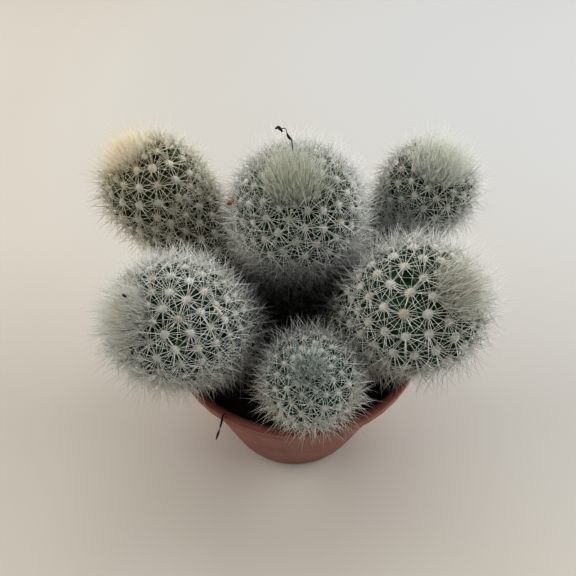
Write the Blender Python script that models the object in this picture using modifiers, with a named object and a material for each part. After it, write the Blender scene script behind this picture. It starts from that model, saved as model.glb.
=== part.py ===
"""A clump of mammillaria in a plastic nursery pot: six round heads that stand in one potful of soil.

Each head is one closed body: a club on a bent centre line, tubercles all over it on a golden-angle spiral,
and on every tubercle an areole with a star of spines. Metres, +Z up, origin under the middle of the pot.
"""

import math
from collections import namedtuple

import bmesh
import bpy
import numpy as np
from mathutils import Matrix, Vector, noise
from mathutils.bvhtree import BVHTree

# Pot, a thin tapered shell with a lip
RIM_RADIUS = 0.0425
POT_HEIGHT = 0.062
BASE_RADIUS = 0.0297
WALL = 0.0011
LIP_OUT = 0.0012
LIP_DEEP = 0.0042
LIP_SLANT = 0.0002
LIP_ROUND = 0.0005
BASE_ROUND = 0.0018
POT_SIDES = 48
DRAIN_HOLES = 6
DRAIN_RADIUS = 0.0028
DRAIN_RING = 0.0185

# Soil, a plug with a rough top and a plain hole for each stem
GAP = 0.0003
SIDE_GAP = 0.0009
SOIL_TOP = 0.0558
SOIL_SINK = 0.0012
SOIL_ROUGH = 0.0012
SOIL_WAVES = 110
SOIL_RINGS = 5
SOIL_SIDES = 28
HOLE_DEPTH = 0.009
HOLE_SIDES = 10
MERGE = 0.00001

# Heads: the foot's height over the soil and on the ball that orders the corners, the centre line's pull
# at either end as a share of its length, and the turn from one tubercle to the next
FOOT_LIFT = 0.0012
FOOT_ON_BALL = -0.985
BEND = 0.8
GOLDEN_ANGLE = math.pi * (3 - math.sqrt(5))
LENGTH_STEPS = 240

# Tubercles: their spacing, larger than life, and how far they stand out
PITCH = 0.0077
TUBERCLE_HEIGHT = 0.0028
TUBERCLE_SPREAD = 0.44
AREOLE_RADIUS = 0.00095
AREOLE_DOME = 0.0003
AREOLE_TWIST = math.radians(15)
LOWEST_AREOLE = 0.93
BARE_STEM = 0.0072

# Spines, low and high by turns, and steeper near the crown
SPINE_LENGTH = 0.0076
LOW_SPINE = math.radians(27)
HIGH_SPINE = math.radians(52)
CROWN_LIFT = math.radians(22)
CROWN_REACH = 0.009
MOST_LIFT = math.radians(84)

# Room round a spine, measured at shares of its length, and what it tries in turn where there is too little:
# turns as shares of its sector, steeper rises and shorter lengths
SPINE_ROOM = 0.0009
BODY_ROOM = 0.0006
CHECKED_AT = (0.25, 0.4, 0.7, 1.0)
ROOT_SKIN = 0.1
TURNS = (0, 0.18, -0.18, 0.34, -0.34)
LIFTS = tuple(math.radians(lift) for lift in (0, 14, 28))
SHARES = (1.0, 0.75, 0.5)

# A head's name, middle, radius to its areoles, length over width, lean from upright, bearing of that lean,
# the place and radius of its foot in the soil, and how long it stays full below its widest place
Head = namedtuple("Head", "name middle radius stretch lean bearing foot foot_radius fullness")
HEADS = (
    Head("head_back_left", (-0.0456, 0.0300, 0.0900), 0.0158, 1.04, 28, 175, (-0.0220, 0.0135), 0.0050, 1.7),
    Head("head_back", (0.0004, 0.0165, 0.0915), 0.0196, 1.12, 22, -104, (0.0002, 0.0090), 0.0066, 2.1),
    Head("head_back_right", (0.0428, 0.0300, 0.0900), 0.0143, 1.04, 15, -72, (0.0208, 0.0138), 0.0048, 1.7),
    Head("head_left", (-0.0339, -0.0173, 0.0820), 0.0173, 1.05, 44, -145, (-0.0190, -0.0095), 0.0060, 1.6),
    Head("head_right", (0.0333, -0.0123, 0.0825), 0.0183, 1.05, 32, -38, (0.0185, -0.0070), 0.0065, 1.6),
    Head("head_front", (0.0036, -0.0296, 0.0718), 0.0128, 1.15, 17, -97, (0.0036, -0.0245), 0.0052, 1.7),
)


def clear_scene():
    for thing in list(bpy.data.objects):
        bpy.data.objects.remove(thing, do_unlink=True)


def new_collection(name):
    collection = bpy.data.collections.new(name)
    bpy.context.scene.collection.children.link(collection)
    return collection


def principled(name, colour, roughness):
    material = bpy.data.materials.new(name)
    material.use_nodes = True
    shader = material.node_tree.nodes["Principled BSDF"]
    shader.inputs["Base Color"].default_value = (*colour, 1.0)
    shader.inputs["Roughness"].default_value = roughness
    shader.inputs["Metallic"].default_value = 0.0
    return material


def add_mesh(name, bm, collection, *materials):
    mesh = bpy.data.meshes.new(name)
    bm.to_mesh(mesh)
    bm.free()
    for material in materials:
        mesh.materials.append(material)
    thing = bpy.data.objects.new(name, mesh)
    collection.objects.link(thing)
    return thing


def turned(name, profile, sides, collection, material):
    """A closed profile of (radius, height) points, turned about Z."""
    bm = bmesh.new()
    points = [bm.verts.new((radius, 0, height)) for radius, height in profile]
    for here, there in zip(points, points[1:] + points[:1]):
        bm.edges.new((here, there))
    thing = add_mesh(name, bm, collection, material)
    screw = thing.modifiers.new("turn", "SCREW")
    screw.steps = sides
    screw.render_steps = sides
    screw.use_merge_vertices = True
    screw.merge_threshold = MERGE
    return thing


def corner(middle, radius, first, last, steps):
    """Points on an arc in the profile's plane, with its angles in degrees."""
    turn = [math.radians(first + (last - first) * step / steps) for step in range(steps + 1)]
    return [(middle[0] + radius * math.cos(a), middle[1] + radius * math.sin(a)) for a in turn]


def wall_radius(height):
    """The pot's outer radius under its lip."""
    top = RIM_RADIUS - LIP_OUT
    return BASE_RADIUS + (top - BASE_RADIUS) * height / POT_HEIGHT


def cut(thing, cutters):
    boolean = thing.modifiers.new("holes", "BOOLEAN")
    boolean.operation = "DIFFERENCE"
    boolean.operand_type = "COLLECTION"
    boolean.collection = cutters
    boolean.solver = "EXACT"


def add_cutter(name, place, radius, height, sides, cutters):
    bm = bmesh.new()
    bmesh.ops.create_cone(bm, cap_ends=True, segments=sides, radius1=radius, radius2=radius, depth=height)
    cutter = add_mesh(name, bm, cutters)
    cutter.location = place
    cutter.hide_render = True
    cutter.display_type = "WIRE"


def add_pot(collection, cutters):
    lip_low = POT_HEIGHT - LIP_DEEP
    inner_floor = wall_radius(WALL) - WALL
    profile = [(RIM_RADIUS - LIP_OUT - WALL, POT_HEIGHT)]
    profile += corner((RIM_RADIUS - LIP_ROUND, POT_HEIGHT - LIP_ROUND), LIP_ROUND, 90, 0, 2)
    profile += [(RIM_RADIUS - LIP_SLANT, lip_low), (wall_radius(lip_low), lip_low)]
    profile += corner((BASE_RADIUS - BASE_ROUND, BASE_ROUND), BASE_ROUND, 0, -90, 3)
    profile += [(0, 0), (0, WALL), (inner_floor, WALL)]
    plastic = principled("terracotta plastic", (0.22, 0.075, 0.055), 0.42)
    pot = turned("pot", profile, POT_SIDES, collection, plastic)
    for hole in range(DRAIN_HOLES):
        turn = 2 * math.pi * hole / DRAIN_HOLES
        place = (DRAIN_RING * math.cos(turn), DRAIN_RING * math.sin(turn), WALL / 2)
        add_cutter(f"drain_{hole}", place, DRAIN_RADIUS, 4 * WALL, HOLE_SIDES, cutters)
    cut(pot, cutters)
    return pot


def soil_height(x, y):
    """The soil's rough top, sunk a little towards the wall."""
    out = math.hypot(x, y) / RIM_RADIUS
    return SOIL_TOP - SOIL_SINK * out**4 + SOIL_ROUGH * noise.noise(Vector((x, y, 0)) * SOIL_WAVES)


def add_soil(collection, cutters):
    """A plug turned from its profile; then the vertices of its top go up and down."""
    floor = WALL + GAP
    top_radius = wall_radius(SOIL_TOP) - WALL - SIDE_GAP
    profile = [(top_radius * ring / SOIL_RINGS, SOIL_TOP) for ring in range(SOIL_RINGS + 1)]
    profile += [(wall_radius(floor) - WALL - SIDE_GAP, floor), (0, floor)]
    bm = bmesh.new()
    points = [bm.verts.new((radius, 0, height)) for radius, height in profile]
    edges = [bm.edges.new(pair) for pair in zip(points, points[1:])]
    full_turn = 2 * math.pi
    up = (0, 0, 1)
    bmesh.ops.spin(bm, geom=points + edges, cent=(0, 0, 0), axis=up, angle=full_turn, steps=SOIL_SIDES)
    bmesh.ops.remove_doubles(bm, verts=bm.verts, dist=MERGE)
    for vert in bm.verts:
        if vert.co.z > floor + MERGE:
            vert.co.z = soil_height(vert.co.x, vert.co.y)
    bmesh.ops.recalc_face_normals(bm, faces=bm.faces)
    soil = add_mesh("soil", bm, collection, principled("peat soil", (0.012, 0.010, 0.008), 0.95))
    for head in HEADS:
        place = (*head.foot, SOIL_TOP)
        radius = (head.foot_radius + GAP) / math.cos(math.pi / HOLE_SIDES)
        add_cutter(f"hole_{head.name}", place, radius, 2 * HOLE_DEPTH, HOLE_SIDES, cutters)
    cut(soil, cutters)
    return soil


def lean_of(head):
    """The way a head points."""
    lean = math.radians(head.lean)
    bearing = math.radians(head.bearing)
    flat = math.sin(lean)
    return Vector((flat * math.cos(bearing), flat * math.sin(bearing), math.cos(lean)))


class Club:
    """A head's bare form: a round section that follows a bent centre line from its foot to its crown."""

    def __init__(self, head, skin_radius):
        self.foot = Vector((*head.foot, SOIL_TOP + FOOT_LIFT))
        self.foot_radius = head.foot_radius
        self.fullness = head.fullness
        self.middle = Vector(head.middle)
        self.radius = skin_radius
        self.reach = skin_radius * head.stretch
        self.way = lean_of(head)
        self.side = self.way.cross(Vector((0, 0, 1))).normalized()
        self.pull = (self.middle - self.foot).length * BEND

    def section(self, share):
        """Centre, tangent and radius, from 0 at the crown to 1 at the widest place and 2 at the foot."""
        if share <= 1:
            rise = math.cos(share * math.pi / 2)
            centre = self.middle + self.way * self.reach * rise
            return centre, self.way, self.radius * math.sin(share * math.pi / 2)
        t = 2 - share
        start = Vector((0, 0, self.pull))
        end = self.way * self.pull
        centre = (
            self.foot * (2 * t**3 - 3 * t**2 + 1)
            + start * (t**3 - 2 * t**2 + t)
            + self.middle * (3 * t**2 - 2 * t**3)
            + end * (t**3 - t**2)
        )
        tangent = (
            (self.middle - self.foot) * (6 * t - 6 * t**2)
            + start * (3 * t**2 - 4 * t + 1)
            + end * (3 * t**2 - 2 * t)
        ).normalized()
        taper = 1 - (share - 1) ** self.fullness
        return centre, tangent, self.foot_radius + (self.radius - self.foot_radius) * taper

    def point(self, share, turn):
        centre, tangent, radius = self.section(share)
        across = tangent.cross(self.side).normalized()
        return centre + (self.side * math.cos(turn) + across * math.sin(turn)) * radius

    def skin(self):
        """Shares along the club and the skin's area above each."""
        shares = np.linspace(0, 2, LENGTH_STEPS)
        sections = [self.section(share) for share in shares]
        area = [0.0]
        for (low, _, thin), (high, _, wide) in zip(sections, sections[1:]):
            slant = math.hypot((high - low).length, wide - thin)
            area.append(area[-1] + math.pi * (thin + wide) * slant)
        return shares, np.array(area)


def hull_of(club):
    """A closed mesh with a vertex at every tubercle, joined as its points would be on a ball."""
    shares, area = club.skin()
    count = int(area[-1] * LOWEST_AREOLE / (PITCH**2 * math.sqrt(3) / 2))
    bm = bmesh.new()
    targets = []
    for place in range(count):
        part = LOWEST_AREOLE * (place + 0.5) / count
        turn = place * GOLDEN_ANGLE
        height = 1 - 2 * part
        flat = math.sqrt(1 - height**2)
        bm.verts.new((flat * math.cos(turn), flat * math.sin(turn), height))
        targets.append(club.point(float(np.interp(part * area[-1], area, shares)), turn))
    for side in range(HOLE_SIDES):
        turn = 2 * math.pi * side / HOLE_SIDES
        flat = math.sqrt(1 - FOOT_ON_BALL**2)
        bm.verts.new((flat * math.cos(turn), flat * math.sin(turn), FOOT_ON_BALL))
        targets.append(club.point(2, turn))
    bmesh.ops.convex_hull(bm, input=bm.verts)
    bm.verts.ensure_lookup_table()
    for vert, target in zip(bm.verts, targets):
        vert.co = target
    tubercles = [vert for vert in bm.verts[:count] if vert.co.z > SOIL_TOP + BARE_STEM]
    foot = set(bm.verts[count:])
    return bm, tubercles, foot


def add_stem(bm, foot):
    """Joins the foot's faces in one and draws it down into the soil's hole."""
    under = [face for face in bm.faces if foot.issuperset(face.verts)]
    flat = bmesh.ops.dissolve_faces(bm, faces=under)["region"]
    stem = bmesh.ops.extrude_discrete_faces(bm, faces=flat)["faces"]
    for vert in stem[0].verts:
        vert.co.z = SOIL_TOP - HOLE_DEPTH + GAP


def raise_tubercles(bm, corners):
    """Opens each corner into a face and draws that out into a blunt cone; gives the cones' ends."""
    faces = bmesh.ops.bevel(
        bm,
        geom=corners,
        offset=100 * TUBERCLE_SPREAD,
        offset_type="PERCENT",
        affect="VERTICES",
        segments=1,
        profile=0.5,
    )["faces"]
    bm.normal_update()
    ends = bmesh.ops.extrude_discrete_faces(bm, faces=faces)["faces"]
    for end in ends:
        middle = end.calc_center_median()
        normal = end.normal.copy()
        tip = middle + normal * TUBERCLE_HEIGHT
        twist = Matrix.Rotation(AREOLE_TWIST, 3, normal)
        for vert in end.verts:
            out = vert.co - middle
            out -= normal * out.dot(normal)
            vert.co = tip + twist @ out.normalized() * AREOLE_RADIUS
    bm.normal_update()
    return ends


def gap_between(start, end, starts, ends):
    """The least distance from one segment to each of many."""
    along = end - start
    others = ends - starts
    apart = start - starts
    a = along @ along
    e = np.einsum("ij,ij->i", others, others)
    f = np.einsum("ij,ij->i", others, apart)
    c = apart @ along
    b = others @ along
    s = np.clip((b * f - c * e) / np.maximum(a * e - b * b, 1e-18), 0, 1)
    t = np.clip((b * s + f) / e, 0, 1)
    s = np.clip((b * t - c) / a, 0, 1)
    return np.linalg.norm(apart + s[:, None] * along - t[:, None] * others, axis=1).min()


class Room:
    """What the spines grow past: every solid's surface, and the spines already there."""

    def __init__(self):
        self.surfaces = {}
        self.starts = []
        self.ends = []
        self.stars = []

    def free(self, root, tip, star, own):
        for name, surface in self.surfaces.items():
            shares = CHECKED_AT if name == own else (0, *CHECKED_AT)
            for share in shares:
                near = surface.find_nearest(root.lerp(tip, share), BODY_ROOM)
                if near[0] is not None:
                    return False
            way = tip - root
            start = root + way * ROOT_SKIN if name == own else root
            if surface.ray_cast(start, way.normalized(), way.length)[0] is not None:
                return False
        if not self.starts:
            return True
        starts = np.array(self.starts)
        ends = np.array(self.ends)
        middle = np.array(root.lerp(tip, 0.5))
        close = np.linalg.norm((starts + ends) / 2 - middle, axis=1) < SPINE_LENGTH + SPINE_ROOM
        close &= np.array(self.stars) != star
        if not close.any():
            return True
        return gap_between(np.array(root), np.array(tip), starts[close], ends[close]) > SPINE_ROOM

    def take(self, root, tip, star):
        self.starts.append(tuple(root))
        self.ends.append(tuple(tip))
        self.stars.append(star)


def spine_tip(root, out, normal, lift, width, star, own, room):
    """The end of a spine that passes all else: as it would grow, or turned, raised or shortened."""
    for share in SHARES:
        for more in LIFTS:
            for turn in TURNS:
                rise = min(lift + more, MOST_LIFT)
                flat = Matrix.Rotation(turn * width, 3, normal) @ out
                way = flat * math.cos(rise) + normal * math.sin(rise)
                tip = root + way * SPINE_LENGTH * share
                if room.free(root, tip, star, own):
                    return tip
    return None


def grow_star(bm, areole, crown, star, own, room):
    """Splits an areole into sectors round its middle and draws each one out into a spine."""
    middle = areole.calc_center_median()
    normal = areole.normal.copy()
    near_crown = max(0.0, 1 - (middle - crown).length / CROWN_REACH)
    sectors = bmesh.ops.poke(bm, faces=[areole], offset=AREOLE_DOME)["faces"]
    width = 2 * math.pi / len(sectors)
    for place, sector in enumerate(sectors):
        root = sector.calc_center_median()
        out = root - middle
        out = (out - normal * out.dot(normal)).normalized()
        lift = (LOW_SPINE if place % 2 else HIGH_SPINE) + CROWN_LIFT * near_crown
        tip = spine_tip(root, out, normal, lift, width, star, own, room)
        if tip is None:
            continue
        room.take(root, tip, star)
        spine = bmesh.ops.poke(bm, faces=[sector])
        spine["verts"][0].co = tip
        for face in spine["faces"]:
            face.material_index = 1


def surface_of(thing):
    """A solid's finished surface, for distances to it."""
    graph = bpy.context.evaluated_depsgraph_get()
    return BVHTree.FromObject(thing, graph)


def add_heads(collection, room):
    skin = principled("cactus skin", (0.055, 0.085, 0.055), 0.6)
    spines = principled("white spines", (0.62, 0.62, 0.56), 0.5)
    grown = []
    for head in HEADS:
        club = Club(head, head.radius - TUBERCLE_HEIGHT)
        bm, corners, foot = hull_of(club)
        bmesh.ops.recalc_face_normals(bm, faces=bm.faces)
        add_stem(bm, foot)
        areoles = raise_tubercles(bm, corners)
        room.surfaces[head.name] = BVHTree.FromBMesh(bm)
        crown = club.middle + club.way * head.radius * head.stretch
        grown.append((head, bm, areoles, crown))
    star = 0
    for head, bm, areoles, crown in grown:
        for areole in areoles:
            grow_star(bm, areole, crown, star, head.name, room)
            star += 1
        bmesh.ops.triangulate(bm, faces=bm.faces)
        add_mesh(head.name, bm, collection, skin, spines)


def main():
    clear_scene()
    parts = new_collection("potted_mammillaria")
    drain_cutters = new_collection("drain_cutters")
    hole_cutters = new_collection("hole_cutters")
    pot = add_pot(parts, drain_cutters)
    soil = add_soil(parts, hole_cutters)
    bpy.context.view_layer.update()
    room = Room()
    room.surfaces = {"pot": surface_of(pot), "soil": surface_of(soil)}
    add_heads(parts, room)


main()
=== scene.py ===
"""The looks of a potted mammillaria: woolly, white-spined heads, crumbly soil, a moulded plastic pot.

Each head takes the form of its CAD node (a club on a bent centre line, from the same sizes) and grows
tubercles, areoles, spines and wool on it at life size, on a golden-angle spiral. Metres, +Z up.
"""

import math
from collections import namedtuple

import bmesh
import bpy
import numpy as np
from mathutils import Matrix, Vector, noise


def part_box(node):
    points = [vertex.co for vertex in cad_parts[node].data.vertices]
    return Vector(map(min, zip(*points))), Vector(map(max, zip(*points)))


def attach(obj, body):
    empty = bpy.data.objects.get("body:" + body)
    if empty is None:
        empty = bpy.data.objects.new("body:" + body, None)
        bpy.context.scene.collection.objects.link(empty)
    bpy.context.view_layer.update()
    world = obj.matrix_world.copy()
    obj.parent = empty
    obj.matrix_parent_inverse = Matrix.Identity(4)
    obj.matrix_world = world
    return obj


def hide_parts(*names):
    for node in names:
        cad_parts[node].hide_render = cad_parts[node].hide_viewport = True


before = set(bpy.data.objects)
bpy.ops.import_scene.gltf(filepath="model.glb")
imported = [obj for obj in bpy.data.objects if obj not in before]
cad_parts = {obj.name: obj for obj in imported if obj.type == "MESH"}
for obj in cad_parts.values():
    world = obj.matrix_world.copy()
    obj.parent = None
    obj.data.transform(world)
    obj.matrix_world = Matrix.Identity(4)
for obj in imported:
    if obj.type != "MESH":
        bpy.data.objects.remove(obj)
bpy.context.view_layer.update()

MM = 0.001
GOLDEN_ANGLE = math.pi * (3 - math.sqrt(5))

# The pot and the soil, read from the frame
POT_LOW, POT_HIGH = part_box("pot")
RIM_RADIUS = (POT_HIGH.x - POT_LOW.x) / 2
POT_HEIGHT = POT_HIGH.z
BASE_RADIUS = 29.7 * MM
WALL = 1.1 * MM
LIP_OUT = 1.2 * MM
LIP_DEEP = 4.2 * MM
SOIL_TOP = 55.8 * MM
SOIL_RADIUS = (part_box("soil")[1].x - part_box("soil")[0].x) / 2

# Heads: the CAD's sizes, then the areoles' spacing, the crown tuft's radius, the long hairs on a young areole,
# how far the hairs turn up from the crown's axis, and the seed of the draws
Head = namedtuple(
    "Head", "node middle radius stretch lean bearing foot foot_radius fullness pitch tuft hairs rise seed"
)
HEADS = (
    Head("head_back_left", (-45.6, 30.0, 90.0), 15.8, 1.04, 28, 175, (-22.0, 13.5), 5.0, 1.7, 4.9, 6.0, 10, 0.25, 11),
    Head("head_back", (0.4, 16.5, 91.5), 19.6, 1.12, 22, -104, (0.2, 9.0), 6.6, 2.1, 4.65, 6.6, 14, 0.6, 12),
    Head("head_back_right", (42.8, 30.0, 90.0), 14.3, 1.04, 15, -72, (20.8, 13.8), 4.8, 1.7, 4.3, 6.6, 12, 0.4, 13),
    Head("head_left", (-33.9, -17.3, 82.0), 17.3, 1.05, 44, -145, (-19.0, -9.5), 6.0, 1.6, 4.5, 6.0, 14, 0.1, 14),
    Head("head_right", (33.3, -12.3, 82.5), 18.3, 1.05, 32, -38, (18.5, -7.0), 6.5, 1.6, 5.3, 6.0, 8, 0.0, 15),
    Head("head_front", (3.6, -29.6, 71.8), 12.8, 1.15, 17, -97, (3.6, -24.5), 5.2, 1.7, 4.0, 4.0, 2, 0.0, 16),
)
FOOT_LIFT = 1.2 * MM
BEND = 0.8
STEM_DEPTH = 8.5 * MM
TUBERCLE_DEPTH = 2.8 * MM
GROWN_AT = 13 * MM
YOUNG_SPACING = 0.5
PAD_SHARE = 0.26

# Spines in three kinds: how many to an areole, rise from the skin and its spread, length, radius at the root
Kind = namedtuple("Kind", "number rise spread length radius inset")
SPINE_KINDS = (
    Kind(13, 16, 7, 7.6 * MM, 0.12 * MM, 0.7),
    Kind(5, 42, 10, 8.4 * MM, 0.125 * MM, 0.5),
    Kind(2, 68, 8, 7.6 * MM, 0.12 * MM, 0.3),
)
YOUNG_HAIR = Kind(0, 58, 15, 9.8 * MM, 0.085 * MM, 0.4)
HAIRY_TO = 18 * MM
WOOL_HAIRS = 16
TUFT_HAIRS = 40
TUFT_LENGTH = 7.4 * MM
# Middle of the clump, round which the spines and wool are darkened as painted shade
CLUMP_SHADE_MIDDLE = (0, -5 * MM, 64 * MM)

# Dry bits caught in the spines and on the rim: the points of each line with its half thickness, in mm
Bit = namedtuple("Bit", "name material lines")
BITS = (
    Bit("flower_stalk", "dark", (
        ((-1.4, 13.6, 116.6, 0.12), (-1.6, 13.0, 119.2, 0.12), (-1.8, 12.4, 121.0, 0.16), (-2.2, 12.2, 121.5, 0.34),
         (-2.7, 12.1, 122.3, 0.30), (-3.0, 12.1, 123.3, 0.11), (-3.2, 12.2, 124.1, 0.10), (-3.7, 12.4, 124.3, 0.11),
         (-4.5, 12.6, 124.0, 0.14)),
        ((-5.9, 12.9, 123.8, 0.16), (-5.2, 12.8, 124.3, 0.40), (-4.7, 12.6, 124.0, 0.40), (-4.1, 12.4, 123.3, 0.22)),
    )),
    Bit("bark_bit", "bark", (
        ((-20.2, 12.0, 99.6, 0.20), (-19.8, 11.2, 100.6, 0.60), (-19.2, 10.1, 101.9, 0.75), (-18.5, 8.9, 103.3, 0.30),
         (-17.9, 8.4, 103.9, 0.12)),
    )),
    Bit("left_twig", "dark", (
        ((-19.3, -33.0, 56.0, 0.16), (-20.4, -35.0, 60.6, 0.18), (-21.3, -36.3, 62.6, 0.22), (-21.6, -37.4, 62.3, 0.30),
         (-21.9, -38.1, 61.0, 0.32), (-22.3, -38.5, 59.4, 0.26), (-22.6, -38.6, 58.3, 0.10), (-23.0, -38.9, 56.8, 0.26),
         (-23.6, -39.0, 54.6, 0.36), (-24.3, -39.3, 52.0, 0.20)),
    )),
    Bit("right_twig", "dark", (
        ((10.4, -37.6, 56.4, 0.14), (10.8, -39.2, 60.4, 0.16), (11.2, -40.7, 62.5, 0.18), (11.8, -41.3, 61.2, 0.20),
         (12.5, -41.0, 59.3, 0.20), (13.3, -40.7, 57.3, 0.16)),
    )),
    Bit("straw", "straw", (
        ((-21.7, -22.2, 96.3, 0.14), (-20.9, -22.4, 95.3, 0.34), (-20.2, -22.6, 94.4, 0.32), (-19.4, -22.8, 93.2, 0.14)),
        ((-20.9, -22.3, 95.4, 0.16), (-21.3, -23.6, 95.3, 0.08)),
        ((-20.3, -22.5, 94.6, 0.16), (-19.2, -21.4, 93.4, 0.08)),
    )),
    Bit("grain", "dark", (
        ((-41.8, -24.6, 103.8, 0.14), (-41.3, -24.9, 103.8, 0.34), (-40.7, -25.3, 103.7, 0.14)),
    )),
)

# Camera: the photograph's own view of the pot
CAMERA_PLACE = (-2.7 * MM, -94.4 * MM, 193.1 * MM)
CAMERA_PITCH = math.radians(51.2)
FOCAL_PIXELS = 480
FRAME_PIXELS = 576
SENSOR = 36


def smoothstep(value):
    value = np.clip(value, 0, 1)
    return value * value * (3 - 2 * value)


def unit(vectors):
    return vectors / np.linalg.norm(vectors, axis=-1, keepdims=True)


def add_mesh(name, verts, faces, *materials, smooth=True, body="root", slot="cactus"):
    mesh = bpy.data.meshes.new(name)
    mesh.from_pydata(np.asarray(verts).tolist(), [], faces)
    mesh.validate()
    if smooth:
        mesh.shade_smooth()
    for material in materials:
        mesh.materials.append(material)
    piece = bpy.data.objects.new(name, mesh)
    bpy.context.scene.collection.objects.link(piece)
    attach(piece, body)
    return piece


class Nodes:
    """Short names for the nodes and links of one material."""

    def __init__(self, name):
        self.material = bpy.data.materials.new(name)
        self.material.use_nodes = True
        self.tree = self.material.node_tree
        self.shader = self.tree.nodes["Principled BSDF"]
        self.place = self.tree.nodes.new("ShaderNodeTexCoord").outputs["Object"]

    def set(self, **values):
        for name, value in values.items():
            self.shader.inputs[name.replace("_", " ")].default_value = value

    def link(self, source, target):
        self.tree.links.new(source, target)

    def noise(self, scale, detail=4.0, roughness=0.55, stretch=None):
        node = self.tree.nodes.new("ShaderNodeTexNoise")
        node.inputs["Scale"].default_value = scale
        node.inputs["Detail"].default_value = detail
        node.inputs["Roughness"].default_value = roughness
        place = self.place
        if stretch:
            mapping = self.tree.nodes.new("ShaderNodeMapping")
            mapping.inputs["Scale"].default_value = stretch
            self.link(place, mapping.inputs["Vector"])
            place = mapping.outputs["Vector"]
        self.link(place, node.inputs["Vector"])
        return node.outputs["Fac"]

    def island(self):
        return self.tree.nodes.new("ShaderNodeNewGeometry").outputs["Random Per Island"]

    def ramp(self, factor, *stops):
        node = self.tree.nodes.new("ShaderNodeValToRGB")
        elements = node.color_ramp.elements
        while len(elements) < len(stops):
            elements.new(0.5)
        for element, (position, colour) in zip(elements, stops):
            element.position = position
            element.color = (*colour, 1)
        self.link(factor, node.inputs["Fac"])
        return node.outputs["Color"]

    def mix(self, factor, first, second, blend="MIX"):
        node = self.tree.nodes.new("ShaderNodeMix")
        node.data_type = "RGBA"
        node.blend_type = blend
        inputs = {i.identifier: i for i in node.inputs}
        for key, value in (("Factor_Float", factor), ("A_Color", first), ("B_Color", second)):
            if isinstance(value, bpy.types.NodeSocket):
                self.link(value, inputs[key])
            elif isinstance(value, tuple):
                inputs[key].default_value = (*value, 1)
            else:
                inputs[key].default_value = value
        return {o.identifier: o for o in node.outputs}["Result_Color"]

    def map(self, value, low, high, to_low, to_high):
        node = self.tree.nodes.new("ShaderNodeMapRange")
        self.link(value, node.inputs["Value"])
        for name, number in (("From Min", low), ("From Max", high), ("To Min", to_low), ("To Max", to_high)):
            node.inputs[name].default_value = number
        return node.outputs["Result"]

    def distance(self, point):
        node = self.tree.nodes.new("ShaderNodeVectorMath")
        node.operation = "DISTANCE"
        self.link(self.place, node.inputs[0])
        node.inputs[1].default_value = point
        return node.outputs["Value"]

    def height(self):
        node = self.tree.nodes.new("ShaderNodeSeparateXYZ")
        self.link(self.place, node.inputs["Vector"])
        return node.outputs["Z"]

    def maths(self, operation, first, second):
        node = self.tree.nodes.new("ShaderNodeMath")
        node.operation = operation
        for socket, value in zip(node.inputs, (first, second)):
            if isinstance(value, bpy.types.NodeSocket):
                self.link(value, socket)
            else:
                socket.default_value = value
        return node.outputs["Value"]

    def off_axis(self):
        """Distance from the upright axis through the pot's middle."""
        flat = self.tree.nodes.new("ShaderNodeVectorMath")
        flat.operation = "MULTIPLY"
        flat.inputs[1].default_value = (1, 1, 0)
        self.link(self.place, flat.inputs[0])
        length = self.tree.nodes.new("ShaderNodeVectorMath")
        length.operation = "LENGTH"
        self.link(flat.outputs["Vector"], length.inputs[0])
        return length.outputs["Value"]

    def bump(self, height, strength, distance):
        node = self.tree.nodes.new("ShaderNodeBump")
        node.inputs["Strength"].default_value = strength
        node.inputs["Distance"].default_value = distance
        self.link(height, node.inputs["Height"])
        self.link(node.outputs["Normal"], self.shader.inputs["Normal"])

    def colour(self, source):
        self.link(source, self.shader.inputs["Base Color"])


def skin_material(name, green):
    nodes = Nodes(name)
    patches = nodes.noise(220, 3)
    nodes.colour(nodes.ramp(patches, *zip((0.32, 0.52, 0.75), green)))
    nodes.bump(nodes.noise(1800, 2), 0.3, 0.0002)
    nodes.set(Roughness=0.6, Specular_IOR_Level=0.18)
    return nodes.material


GREEN_SKIN = ((0.006, 0.022, 0.008), (0.014, 0.052, 0.018), (0.038, 0.115, 0.040))
OLIVE_SKIN = ((0.016, 0.022, 0.006), (0.034, 0.050, 0.014), (0.075, 0.105, 0.034))
WHITE_SPINES = ((0.70, 0.71, 0.64), (0.88, 0.89, 0.85), (0.96, 0.97, 0.95))
CREAM_SPINES = ((0.62, 0.58, 0.42), (0.84, 0.81, 0.66), (0.95, 0.93, 0.82))


def spine_material(head, white, crown):
    """Pale spines, tinted round the crown, tan low down outside (their old colour with painted warm bounce light from
    the floor), and darkened to grey deep in the clump as painted shade.
    """
    nodes = Nodes(head.node + " spines")
    shade = nodes.ramp(nodes.island(), *zip((0.0, 0.35, 1.0), white))
    # Tan low down: the old spines' own colour with painted warm bounce light from the floor
    shade = nodes.mix(nodes.map(nodes.height(), 62 * MM, 82 * MM, 0.6, 0.0), shade, (0.86, 0.77, 0.59))
    near = nodes.map(nodes.distance(crown), 5 * MM, 17 * MM, 0.8, 0.0)
    shade = nodes.mix(near, shade, CROWN_TINTS[head.node])
    # Painted shade: the spines turn grey deep in the clump, between the heads
    clump_shade = nodes.map(nodes.distance(CLUMP_SHADE_MIDDLE), 14 * MM, 32 * MM, 0.9, 0.0)
    nodes.colour(nodes.mix(clump_shade, shade, (0.10, 0.10, 0.09)))
    nodes.set(Roughness=0.42)
    return nodes.material


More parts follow.
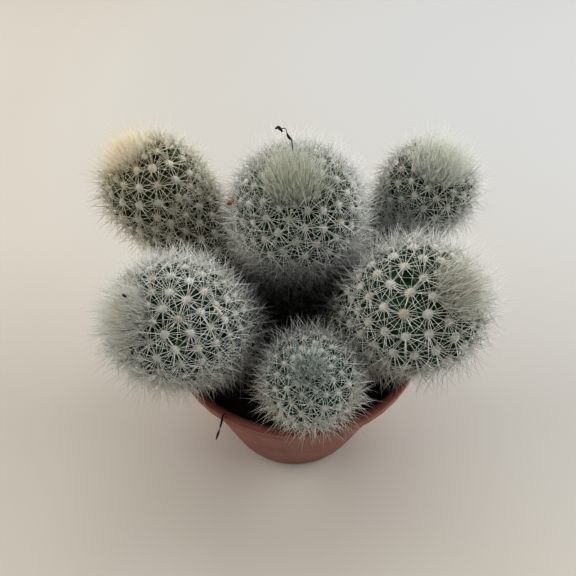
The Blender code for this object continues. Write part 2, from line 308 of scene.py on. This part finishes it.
def wool_material(name, warm=None):
    nodes = Nodes(name)
    white = ((0.0, (0.58, 0.55, 0.47)), (0.4, (0.82, 0.82, 0.77)), (0.8, (0.84, 0.82, 0.76)), (1.0, (0.66, 0.56, 0.46)))
    shade = nodes.ramp(nodes.island(), *white)
    # Tan low down: the old wool's own colour with painted warm bounce light from the floor
    shade = nodes.mix(nodes.map(nodes.height(), 60 * MM, 80 * MM, 0.45, 0.0), shade, (0.56, 0.46, 0.30))
    # Painted warm glow of light round the back-left head's crown, over the wool's cream colour
    if warm:
        near = nodes.map(nodes.distance(warm), 8 * MM, 19 * MM, 0.6, 0.0)
        shade = nodes.mix(near, shade, (0.92, 0.80, 0.54))
    # Painted shade: the wool turns dark deep in the clump, between the heads
    clump_shade = nodes.map(nodes.distance(CLUMP_SHADE_MIDDLE), 14 * MM, 30 * MM, 0.85, 0.0)
    shade = nodes.mix(clump_shade, shade, (0.14, 0.12, 0.10))
    nodes.colour(nodes.mix(nodes.map(nodes.noise(2600, 2), 0.35, 0.65, 0.0, 0.35), shade, (0.45, 0.44, 0.38)))
    nodes.bump(nodes.noise(4200, 3), 0.5, 0.0002)
    nodes.set(Roughness=0.95, Specular_IOR_Level=0.2)
    return nodes.material


TUFT_COLOURS = {
    # Back-left crown: its own cream hairs with a painted warm glow of light
    "head_back_left": ((0.96, 0.70, 0.38), (0.97, 0.92, 0.76)),
    "head_back": ((0.54, 0.56, 0.37), (0.66, 0.69, 0.56)),
    "head_back_right": ((0.72, 0.75, 0.56), (0.86, 0.89, 0.80)),
    "head_left": ((0.56, 0.53, 0.38), (0.80, 0.81, 0.74)),
    "head_right": ((0.38, 0.31, 0.21), (0.70, 0.71, 0.62)),
    "head_front": ((0.60, 0.70, 0.63), (0.80, 0.87, 0.82)),
}


CROWN_TINTS = {
    # Back-left crown: its own cream spines with a painted warm glow of light
    "head_back_left": (0.97, 0.84, 0.58),
    "head_back": (0.72, 0.74, 0.62),
    "head_back_right": (0.84, 0.86, 0.74),
    "head_left": (0.78, 0.78, 0.70),
    "head_right": (0.70, 0.68, 0.56),
    "head_front": (0.76, 0.84, 0.79),
}


def tuft_material(head, crown):
    """Silky hairs of one colour at the crown's middle and another round it."""
    nodes = Nodes(head.node + " silk")
    inner, outer = TUFT_COLOURS[head.node]
    far = nodes.map(nodes.distance(crown), 1.5 * MM, (head.tuft * 0.75 + 1) * MM, 0.0, 1.0)
    shade = nodes.mix(far, inner, outer)
    nodes.colour(nodes.mix(nodes.map(nodes.island(), 0, 1, 0.0, 0.35), shade, (0.90, 0.91, 0.86)))
    nodes.set(Roughness=0.38)
    return nodes.material


def soil_material():
    nodes = Nodes("peat")
    grain = nodes.noise(650, 6, 0.7)
    peat = ((0.018, 0.013, 0.010), (0.058, 0.042, 0.031), (0.150, 0.110, 0.078))
    nodes.colour(nodes.ramp(grain, *zip((0.3, 0.6, 0.85), peat)))
    nodes.bump(nodes.noise(1500, 5, 0.7), 0.8, 0.0006)
    nodes.set(Roughness=0.95, Specular_IOR_Level=0.15)
    return nodes.material


def plastic_material():
    """Red-brown plastic, painted dark on its inner side above the soil as shade."""
    nodes = Nodes("moulded plastic")
    cloud = nodes.noise(38, 3)
    shade = nodes.ramp(cloud, (0.3, (0.262, 0.080, 0.060)), (0.7, (0.300, 0.096, 0.073)))
    dust = nodes.map(nodes.noise(900, 4, 0.6), 0.60, 0.85, 0.0, 0.16)
    shade = nodes.mix(dust, shade, (0.40, 0.22, 0.17))
    slope = (RIM_RADIUS - LIP_OUT - BASE_RADIUS) / POT_HEIGHT
    upright = nodes.maths("SUBTRACT", nodes.off_axis(), nodes.maths("MULTIPLY", nodes.height(), slope))
    # Painted shade: the inner wall above the soil goes dark, and a little of the outer wall under the lip
    inside = nodes.map(upright, BASE_RADIUS - 0.8 * WALL, BASE_RADIUS + 0.2 * WALL, 1.0, 0.0)
    high = nodes.map(nodes.height(), SOIL_TOP - 6 * MM, SOIL_TOP, 0.0, 0.85)
    nodes.colour(nodes.mix(nodes.maths("MULTIPLY", inside, high), shade, (0.030, 0.014, 0.010)))
    nodes.link(nodes.map(nodes.noise(120, 2), 0.3, 0.7, 0.40, 0.55), nodes.shader.inputs["Roughness"])
    nodes.bump(nodes.noise(420, 2, 0.5, (1, 1, 6)), 0.04, 0.0002)
    nodes.set(Specular_IOR_Level=0.35)
    return nodes.material


def dry_material(name, dark, pale):
    nodes = Nodes(name)
    nodes.colour(nodes.ramp(nodes.noise(900, 4), (0.3, dark), (0.7, pale)))
    nodes.bump(nodes.noise(2500, 3), 0.5, 0.0002)
    nodes.set(Roughness=0.85, Specular_IOR_Level=0.25)
    return nodes.material


def floor_material():
    """Pale floor with a faint drift, and a painted change of light: cooler far off to the right and warmer nearby."""
    nodes = Nodes("pale floor")
    drift = nodes.noise(6, 2, 0.4, (1, 0.4, 1))
    near = nodes.ramp(drift, (0.3, (0.650, 0.605, 0.530)), (0.7, (0.690, 0.648, 0.575)))
    # Painted light: a cool pool far off to the right
    far = nodes.map(nodes.distance((0.22, 0.30, 0)), 0.12, 0.44, 1.0, 0.0)
    nodes.colour(nodes.mix(far, near, (0.635, 0.640, 0.635)))
    nodes.set(Roughness=0.7)
    return nodes.material


class Club:
    """A head's bare form, as in the CAD: a round section along a bent centre line."""

    def __init__(self, head):
        lean = math.radians(head.lean)
        bearing = math.radians(head.bearing)
        self.foot = np.array([head.foot[0] * MM, head.foot[1] * MM, SOIL_TOP + FOOT_LIFT])
        self.foot_radius = head.foot_radius * MM
        self.fullness = head.fullness
        self.middle = np.array(head.middle) * MM
        self.radius = head.radius * MM - TUBERCLE_DEPTH
        self.reach = self.radius * head.stretch
        flat = math.sin(lean)
        self.way = np.array([flat * math.cos(bearing), flat * math.sin(bearing), math.cos(lean)])
        self.side = unit(np.cross(self.way, (0, 0, 1)))
        self.pull = np.linalg.norm(self.middle - self.foot) * BEND
        self.crown = self.middle + self.way * head.radius * MM * head.stretch

    def sections(self, shares):
        """Centres, tangents and radii, from 0 at the crown to 1 at the widest place and 2 at the foot."""
        shares = np.asarray(shares, float)
        s = np.minimum(shares, 1)[..., None]
        upper = self.middle + self.way * self.reach * np.cos(s * math.pi / 2)
        t = np.clip(2 - shares, 0, 1)[..., None]
        start = np.array([0, 0, self.pull])
        end = self.way * self.pull
        lower = (
            self.foot * (2 * t**3 - 3 * t**2 + 1)
            + start * (t**3 - 2 * t**2 + t)
            + self.middle * (3 * t**2 - 2 * t**3)
            + end * (t**3 - t**2)
        )
        tangent = unit(
            (self.middle - self.foot) * (6 * t - 6 * t**2)
            + start * (3 * t**2 - 4 * t + 1)
            + end * (3 * t**2 - 2 * t)
        )
        high = (shares <= 1)[..., None]
        taper = 1 - np.clip(shares - 1, 0, 1) ** self.fullness
        radii = np.where(
            high[..., 0],
            self.radius * np.sin(np.minimum(shares, 1) * math.pi / 2),
            self.foot_radius + (self.radius - self.foot_radius) * taper,
        )
        return np.where(high, upper, lower), np.where(high, self.way, tangent), radii

    def points(self, shares, turns):
        centres, tangents, radii = self.sections(shares)
        across = unit(np.cross(tangents, self.side))
        turns = np.asarray(turns)[..., None]
        return centres + (self.side * np.cos(turns) + across * np.sin(turns)) * radii[..., None]

    def normals(self, shares, turns):
        step = 0.004
        shares = np.maximum(shares, 2 * step)
        along = self.points(shares + step, turns) - self.points(shares - step, turns)
        around = self.points(shares, turns + step) - self.points(shares, turns - step)
        out = self.points(shares, turns) - self.sections(shares)[0]
        normals = unit(np.cross(along, around))
        return normals * np.sign(np.sum(normals * out, -1, keepdims=True))

    def holds(self, points, margin):
        """Which points lie inside the head, or closer to it than the margin."""
        centres, _, radii = self.sections(np.linspace(0.25, 2, 36))
        apart = np.linalg.norm(points[:, None] - centres, axis=2)
        return (apart < radii + margin).any(1)


def place_areoles(club, pitch):
    """Shares, turns and distances from the crown of a spiral that fills the skin evenly."""
    shares = np.linspace(0, 1.97, 500)
    centres, _, radii = club.sections(shares)
    arcs = np.linalg.norm(np.diff(centres, axis=0), axis=1)
    slant = np.hypot(arcs, np.diff(radii))
    arc = np.concatenate([[0], np.cumsum(slant)])
    spacing = pitch * (YOUNG_SPACING + (1 - YOUNG_SPACING) * smoothstep(arc / GROWN_AT))
    cell = spacing**2 * math.sqrt(3) / 2
    middles = (radii[1:] + radii[:-1]) / 2
    count = np.concatenate([[0], np.cumsum(2 * math.pi * middles * slant / cell[1:])])
    order = np.arange(int(count[-1])) + 0.5
    places = np.interp(order, count, shares)
    return places, order * GOLDEN_ANGLE, np.interp(places, shares, arc)


def skin_heights(points, areoles, spacing, depth):
    """How far the skin stands out at each point: a blunt cone round every areole."""
    heights = np.empty(len(points))
    for first in range(0, len(points), 4000):
        part = slice(first, first + 4000)
        apart = np.linalg.norm(points[part, None] - areoles, axis=2)
        nearest = apart.argmin(1)
        gone = np.clip(apart[np.arange(len(nearest)), nearest] / (0.62 * spacing[nearest]), 0, 1)
        cone = 1 - np.sqrt(gone**2 + 0.02)
        heights[part] = depth[nearest] * np.clip(cone / (1 - math.sqrt(0.02)), 0, 1) ** 0.85
    return heights


def add_body(head, club, areoles, spacing, depth, material):
    """The tubercled skin, closed at the crown and at the stem's end."""
    around = 132
    along = 116
    shares = np.linspace(0, 2, along + 1)[1:]
    turns = np.arange(around) * 2 * math.pi / around
    grid_shares, grid_turns = (grid.ravel() for grid in np.meshgrid(shares, turns, indexing="ij"))
    skin = club.points(grid_shares, grid_turns)
    out = club.normals(grid_shares, grid_turns)
    heights = skin_heights(skin, areoles, spacing, depth)
    bare = smoothstep((2 - grid_shares) / 0.12)
    verts = skin + out * (heights * bare)[:, None]
    stem = club.points(np.full(around, 2.0), turns)
    stem[:, 2] = SOIL_TOP - STEM_DEPTH
    crown = club.middle + club.way * (club.reach + depth[0])
    verts = np.concatenate([verts, stem, [crown], [stem.mean(0)]])
    top = (along + 1) * around
    faces = []
    for row in range(along):
        for i in range(around):
            j = (i + 1) % around
            low = (row + 1) * around
            high = row * around
            faces.append((high + i, low + i, low + j, high + j))
    last = along * around
    for i in range(around):
        j = (i + 1) % around
        faces.append((top, i, j))
        faces.append((last + j, last + i, top + 1))
    piece = add_mesh(head.node + "_body", verts, faces, material)
    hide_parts(head.node)
    return piece


def dome(rings, sides):
    """A unit dome's vertices and faces, with its open side at zero."""
    verts = [(0, 0, 1)]
    for ring in range(1, rings + 1):
        fall = ring / rings * math.radians(105)
        for side in range(sides):
            turn = 2 * math.pi * side / sides
            verts.append((math.sin(fall) * math.cos(turn), math.sin(fall) * math.sin(turn), math.cos(fall)))
    faces = [(0, 1 + side, 1 + (side + 1) % sides) for side in range(sides)]
    for ring in range(rings - 1):
        for side in range(sides):
            low = 1 + (ring + 1) * sides
            high = 1 + ring * sides
            far = (side + 1) % sides
            faces.append((high + side, low + side, low + far, high + far))
    verts.append((0, 0, math.cos(math.radians(105))))
    first = 1 + (rings - 1) * sides
    faces += [(first + (side + 1) % sides, first + side, len(verts) - 1) for side in range(sides)]
    return np.array(verts), faces


def axes_of(normals, toward):
    """Two directions across each normal, the first one as near as can be to another direction."""
    first = unit(toward - normals * np.sum(toward * normals, -1, keepdims=True))
    return first, np.cross(normals, first)


def add_pads(head, areoles, rng, material):
    """A tuft of short wool on each areole: a lumpy dome."""
    shape, shape_faces = dome(3, 10)
    verts = []
    faces = []
    for tip, normal, first, second, size, *_ in zip(*areoles):
        lumps = 1 + rng.normal(0, 0.09, (len(shape), 1))
        local = shape * lumps * np.array([1.08, 0.94, 0.62]) * size
        start = len(verts) * len(shape)
        verts.append(tip + local @ np.stack([first, second, normal]))
        faces += [tuple(start + v for v in face) for face in shape_faces]
    return add_mesh(head.node + "_areoles", np.concatenate(verts), faces, material)


def needles(roots, ways, lengths, radii):
    """Slim straight needles, three-sided, from a flat root to a point."""
    helper = np.where(np.abs(ways[:, 2:3]) < 0.9, [[0.0, 0.0, 1.0]], [[1.0, 0.0, 0.0]])
    first = unit(np.cross(ways, helper))
    second = np.cross(ways, first)
    corners = []
    for turn in np.radians((0, 120, 240)):
        corners.append(roots + (first * math.cos(turn) + second * math.sin(turn)) * radii[:, None])
    verts = np.stack([*corners, roots + ways * lengths[:, None]], axis=1).reshape(-1, 3)
    pattern = ((2, 1, 0), (0, 1, 3), (1, 2, 3), (2, 0, 3))
    faces = [tuple(start + v for v in face) for start in range(0, len(verts), 4) for face in pattern]
    return verts, faces


def clear_of_rest(tips, club, clubs):
    """Which points are outside the other heads, the soil and the pot's wall."""
    free = np.ones(len(tips), bool)
    for other in clubs:
        if other is not club:
            free &= ~other.holds(tips, 1.2 * MM)
    out = np.hypot(tips[:, 0], tips[:, 1])
    free &= ~((out < SOIL_RADIUS) & (tips[:, 2] < SOIL_TOP + 0.3 * MM))
    free &= ~((out >= SOIL_RADIUS - MM) & (out < RIM_RADIUS + MM) & (tips[:, 2] < POT_HEIGHT + 0.4 * MM))
    return free


def kept_spines(roots, ways, lengths, club, clubs):
    """Shortens what would run into something else, and says which spines are left."""
    for _ in range(3):
        tips = roots + ways * lengths[:, None]
        lengths = np.where(clear_of_rest(tips, club, clubs), lengths, lengths * 0.7)
    tips = roots + ways * lengths[:, None]
    return clear_of_rest(tips, club, clubs), lengths


def hair_way(head, club):
    """Where the crown's hairs point: along its axis, turned up towards the light."""
    return unit(club.way + head.rise * np.array((0, 0.35, 1)))


def add_spines(head, club, clubs, areoles, rng, material):
    """On each areole a low wheel of stiff spines, a higher one of finer ones, and hairs if it is young."""
    roots, ways, lengths, radii = [], [], [], []
    scale = 0.6 + 0.4 * head.pitch / 5
    young_share = 0.45 if head.hairs < 5 else 0.75
    lean_to = hair_way(head, club)
    for tip, normal, first, second, size, age, hairy in zip(*areoles):
        hair = YOUNG_HAIR._replace(number=round(head.hairs * hairy))
        for kind in (*SPINE_KINDS, hair):
            number = kind.number
            turns = (np.arange(number) + rng.random() + rng.normal(0, 0.2, number)) * 2 * math.pi / max(number, 1)
            rise = np.radians(kind.rise + rng.normal(0, kind.spread, number))
            flat = first * np.cos(turns)[:, None] + second * np.sin(turns)[:, None]
            way = flat * np.cos(rise)[:, None] + normal * np.sin(rise)[:, None]
            pull = 0.62 * (1 - age) if kind in SPINE_KINDS else 0.15 + 0.5 * hairy
            ways.append(unit(way + (lean_to - way) * pull))
            roots.append(tip + (flat * kind.inset + normal * 0.15) * size)
            grown = young_share + (1 - young_share) * age if kind in SPINE_KINDS else 1
            lengths.append(kind.length * scale * grown * rng.normal(1, 0.1, number))
            radii.append(np.full(number, kind.radius * (0.6 + 0.4 * age)))
    roots, ways, lengths, radii = (np.concatenate(part) for part in (roots, ways, lengths, radii))
    keep, lengths = kept_spines(roots, ways, lengths, club, clubs)
    verts, faces = needles(roots[keep], ways[keep], lengths[keep], radii[keep])
    return add_mesh(head.node + "_spines", verts, faces, material)


def add_wool(head, areoles, rng, material):
    """Short hairs that make each areole's edge soft."""
    tips, normals, firsts, seconds, sizes, *_ = areoles
    count = len(tips) * WOOL_HAIRS
    place = np.repeat(np.arange(len(tips)), WOOL_HAIRS)
    turn = rng.random((count, 1)) * 2 * math.pi
    fall = np.radians(rng.uniform(10, 95, (count, 1)))
    flat = firsts[place] * np.cos(turn) + seconds[place] * np.sin(turn)
    way = unit(flat * np.sin(fall) + normals[place] * np.cos(fall) + rng.normal(0, 0.25, (count, 3)))
    size = sizes[place][:, None]
    roots = tips[place] + (flat * np.sin(fall) + normals[place] * np.cos(fall) * 0.55) * size * 0.85
    lengths = sizes[place] * rng.uniform(0.35, 0.75, count)
    verts, faces = needles(roots, way, lengths, np.full(count, 0.055 * MM))
    return add_mesh(head.node + "_wool", verts, faces, material)


def add_tuft(head, club, rng, material):
    """Fine silky hairs that stand close together over the crown and lean out from its axis."""
    count = round(TUFT_HAIRS * head.tuft**2)
    widest = head.tuft * MM / club.radius
    out = np.sqrt(rng.random(count)) * widest
    shares = np.arcsin(np.clip(out, 0, 1)) * 2 / math.pi
    turns = rng.random(count) * 2 * math.pi
    roots = club.points(shares, turns) + club.normals(shares, turns) * TUBERCLE_DEPTH * 0.35
    level = (out / widest)[:, None]
    away = roots - club.middle
    away -= club.way * (away @ club.way)[:, None]
    away = away / (np.linalg.norm(away, axis=1, keepdims=True) + 1e-6)
    ways = unit(hair_way(head, club) + away * (0.7 * level**2 - 0.1) + rng.normal(0, 0.10, (count, 3)))
    size = TUFT_LENGTH * min(1, 0.4 + 0.08 * head.tuft)
    lengths = size * (1.05 - 0.2 * level[:, 0]) * rng.normal(1, 0.12, count)
    verts, faces = needles(roots, ways, lengths, np.full(count, 0.065 * MM))
    return add_mesh(head.node + "_tuft", verts, faces, material)


def grow_head(head, club, clubs, materials):
    skin, spine, wool, tuft = materials
    rng = np.random.default_rng(head.seed)
    shares, turns, arcs = place_areoles(club, head.pitch * MM)
    grown = smoothstep(arcs / GROWN_AT)
    hairy = 1 - smoothstep(arcs / HAIRY_TO)
    skin_points = club.points(shares, turns)
    normals = unit(club.normals(shares, turns) + club.way * 0.12)
    spacing = head.pitch * MM * (YOUNG_SPACING + (1 - YOUNG_SPACING) * grown)
    depth = TUBERCLE_DEPTH * (0.45 + 0.55 * grown)
    tips = skin_points + normals * depth[:, None]
    firsts, seconds = axes_of(normals, np.broadcast_to(club.way, normals.shape) + 1e-4)
    sizes = PAD_SHARE * head.pitch * MM * (0.68 + 0.32 * grown) * rng.normal(1, 0.05, len(tips))
    add_body(head, club, skin_points, spacing, depth, skin)
    bare = shares < 1.93
    areoles = [array[bare] for array in (tips, normals, firsts, seconds, sizes, grown, hairy)]
    add_pads(head, areoles, rng, wool)
    add_spines(head, club, clubs, areoles, rng, spine)
    add_wool(head, areoles, rng, wool)
    add_tuft(head, club, rng, tuft)


def grow_heads():
    clubs = [Club(head) for head in HEADS]
    green = skin_material("green skin", GREEN_SKIN)
    olive = skin_material("olive skin", OLIVE_SKIN)
    white_wool = wool_material("white wool")
    # Wool with a painted warm glow of light round the back-left head's crown
    cream_glow_wool = wool_material("cream wool", tuple(clubs[0].crown))
    for head, club in zip(HEADS, clubs):
        crown = tuple(club.crown)
        tuft = tuft_material(head, crown)
        if head.node == "head_back_left":
            looks = (olive, spine_material(head, CREAM_SPINES, crown), cream_glow_wool, tuft)
        else:
            looks = (green, spine_material(head, WHITE_SPINES, crown), white_wool, tuft)
        grow_head(head, club, clubs, looks)


def wall_radius(height):
    return BASE_RADIUS + (RIM_RADIUS - LIP_OUT - BASE_RADIUS) * height / POT_HEIGHT


def add_soil():
    """A rough disc of peat with its own crumbs, down to the pot's floor."""
    rings, sides = 60, 150
    verts = [(0, 0, 0)]
    for ring in range(1, rings + 1):
        for side in range(sides):
            turn = 2 * math.pi * side / sides
            radius = SOIL_RADIUS * ring / rings
            verts.append((radius * math.cos(turn), radius * math.sin(turn), 0))
    verts = np.array(verts)
    for vert in verts:
        place = Vector((vert[0], vert[1], 0))
        rough = noise.fractal(place * 260, 1.0, 2.0, 5) * 0.0009 + noise.noise(place * 70) * 0.0008
        out = math.hypot(vert[0], vert[1]) / RIM_RADIUS
        vert[2] = SOIL_TOP - 0.0012 * out**4 + rough
    faces = [(0, 1 + side, 1 + (side + 1) % sides) for side in range(sides)]
    for ring in range(rings - 1):
        for side in range(sides):
            far = (side + 1) % sides
            high, low = 1 + ring * sides, 1 + (ring + 1) * sides
            faces.append((high + side, low + side, low + far, high + far))
    first = 1 + (rings - 1) * sides
    foot_radius = wall_radius(2 * WALL) - WALL - 0.4 * MM
    foot = [
        (foot_radius * math.cos(2 * math.pi * i / sides), foot_radius * math.sin(2 * math.pi * i / sides), WALL + 0.3 * MM)
        for i in range(sides)
    ]
    start = len(verts)
    verts = np.concatenate([verts, foot])
    for side in range(sides):
        far = (side + 1) % sides
        faces.append((first + side, start + side, start + far, first + far))
    faces.append(tuple(start + side for side in reversed(range(sides))))
    piece = add_mesh("soil_bed", verts, faces, soil_material(), slot="soil")
    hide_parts("soil")
    return piece


def add_crumbs(material):
    """Loose lumps of peat on the soil."""
    rng = np.random.default_rng(5)
    ball = bmesh.new()
    bmesh.ops.create_icosphere(ball, subdivisions=2, radius=1)
    shape = np.array([vert.co for vert in ball.verts])
    shape_faces = [tuple(vert.index for vert in face.verts) for face in ball.faces]
    ball.free()
    verts, faces = [], []
    for crumb in range(520):
        out = SOIL_RADIUS * 0.975 * math.sqrt(rng.random())
        turn = rng.random() * 2 * math.pi
        size = 0.0004 + 0.0011 * rng.random() ** 2
        offset = Vector(rng.random(3) * 50)
        lumps = np.array([0.75 + 0.5 * noise.noise(Vector(p) * 1.3 + offset) for p in shape])[:, None]
        local = shape * lumps * (size * rng.uniform(0.6, 1.2, 3))
        centre = np.array([out * math.cos(turn), out * math.sin(turn), SOIL_TOP - 0.0010 * (out / RIM_RADIUS) ** 4])
        centre[2] += size * 0.25
        faces += [tuple(len(verts) * len(shape) + v for v in face) for face in shape_faces]
        verts.append(local + centre)
    return add_mesh("soil_crumbs", np.concatenate(verts), faces, material, slot="soil")


def tube(points, radii, sides=7):
    """A closed tube of changing thickness along a line of points."""
    ways = unit(np.gradient(points, axis=0))
    across = unit(np.cross(ways[0], (0.3, 0.5, 0.8)))
    verts, faces = [], []
    for point, way, radius in zip(points, ways, radii):
        across = unit(across - way * (across @ way))
        other = np.cross(way, across)
        for turn in np.arange(sides) * 2 * math.pi / sides:
            verts.append(point + (across * math.cos(turn) + other * math.sin(turn)) * radius)
    for ring in range(len(points) - 1):
        for side in range(sides):
            far = (side + 1) % sides
            low, high = ring * sides, (ring + 1) * sides
            faces.append((low + side, low + far, high + far, high + side))
    last = (len(points) - 1) * sides
    faces.append(tuple(reversed(range(sides))))
    faces.append(tuple(last + side for side in range(sides)))
    return verts, faces


def smooth_line(rows, steps=4):
    """Points and half thicknesses of a smooth line through a bit's rows, in metres."""
    rows = np.array(rows) * MM
    places = np.arange(len(rows))
    slopes = np.gradient(rows, axis=0)
    line = []
    for place in np.linspace(0, len(rows) - 1, (len(rows) - 1) * steps + 1):
        i = min(int(place), len(rows) - 2)
        t = place - places[i]
        line.append(
            rows[i] * (2 * t**3 - 3 * t**2 + 1) + slopes[i] * (t**3 - 2 * t**2 + t)
            + rows[i + 1] * (3 * t**2 - 2 * t**3) + slopes[i + 1] * (t**3 - t**2)
        )
    line = np.array(line)
    return line[:, :3], np.maximum(line[:, 3], 0.05 * MM)


def add_bits():
    """Dead bits of plant caught in the spines and hanging over the rim."""
    looks = {
        "dark": dry_material("dry twig", (0.012, 0.009, 0.007), (0.055, 0.038, 0.026)),
        "bark": dry_material("bark", (0.16, 0.055, 0.018), (0.40, 0.17, 0.06)),
        "straw": dry_material("straw", (0.62, 0.56, 0.42), (0.88, 0.84, 0.70)),
    }
    for bit in BITS:
        verts, faces = [], []
        for rows in bit.lines:
            tube_verts, tube_faces = tube(*smooth_line(rows))
            faces += [tuple(len(verts) + v for v in face) for face in tube_faces]
            verts += tube_verts
        add_mesh(bit.name, verts, faces, looks[bit.material], slot="soil")


def add_camera():
    data = bpy.data.cameras.new("camera")
    data.sensor_width = SENSOR
    data.lens = FOCAL_PIXELS / FRAME_PIXELS * SENSOR
    data.clip_start = 0.01
    camera = bpy.data.objects.new("camera", data)
    camera.location = CAMERA_PLACE
    camera.rotation_euler = (math.pi / 2 - CAMERA_PITCH, 0, 0)
    bpy.context.scene.collection.objects.link(camera)
    bpy.context.scene.camera = camera


def add_area(name, place, target, size, power, colour):
    data = bpy.data.lights.new(name, "AREA")
    data.size = size
    data.energy = power
    data.color = colour
    light = bpy.data.objects.new(name, data)
    light.location = place
    light.rotation_euler = (Vector(target) - Vector(place)).to_track_quat("-Z", "Y").to_euler()
    bpy.context.scene.collection.objects.link(light)


def add_stage():
    bpy.ops.mesh.primitive_plane_add(size=6, location=(0, 0, -0.0002))
    floor = bpy.context.object
    floor.name = "floor"
    floor.data.materials.append(floor_material())
    world = bpy.data.worlds.new("soft sky")
    world.use_nodes = True
    sky = world.node_tree.nodes["Background"]
    sky.inputs["Color"].default_value = (0.93, 0.96, 1.0, 1)
    sky.inputs["Strength"].default_value = 0.19
    bpy.context.scene.world = world
    add_area("window", (0.05, 0.62, 1.0), (0, 0, 0.06), 0.9, 5.2, (1.0, 0.99, 0.97))
    add_area("left", (-0.95, 0.10, 0.55), (0, 0, 0.06), 0.9, 5.8, (1.0, 0.95, 0.88))
    add_area("right", (0.95, 0.10, 0.55), (0, 0, 0.06), 0.9, 6.6, (0.99, 0.99, 0.98))
    bpy.context.scene.view_settings.view_transform = "Standard"
    bpy.context.scene.view_settings.look = "Medium High Contrast"


def main():
    add_camera()
    add_stage()
    grow_heads()
    soil = add_soil()
    add_crumbs(soil.data.materials[0])
    add_bits()
    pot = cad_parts["pot"]
    pot.data.materials.clear()
    pot.data.materials.append(plastic_material())


main()
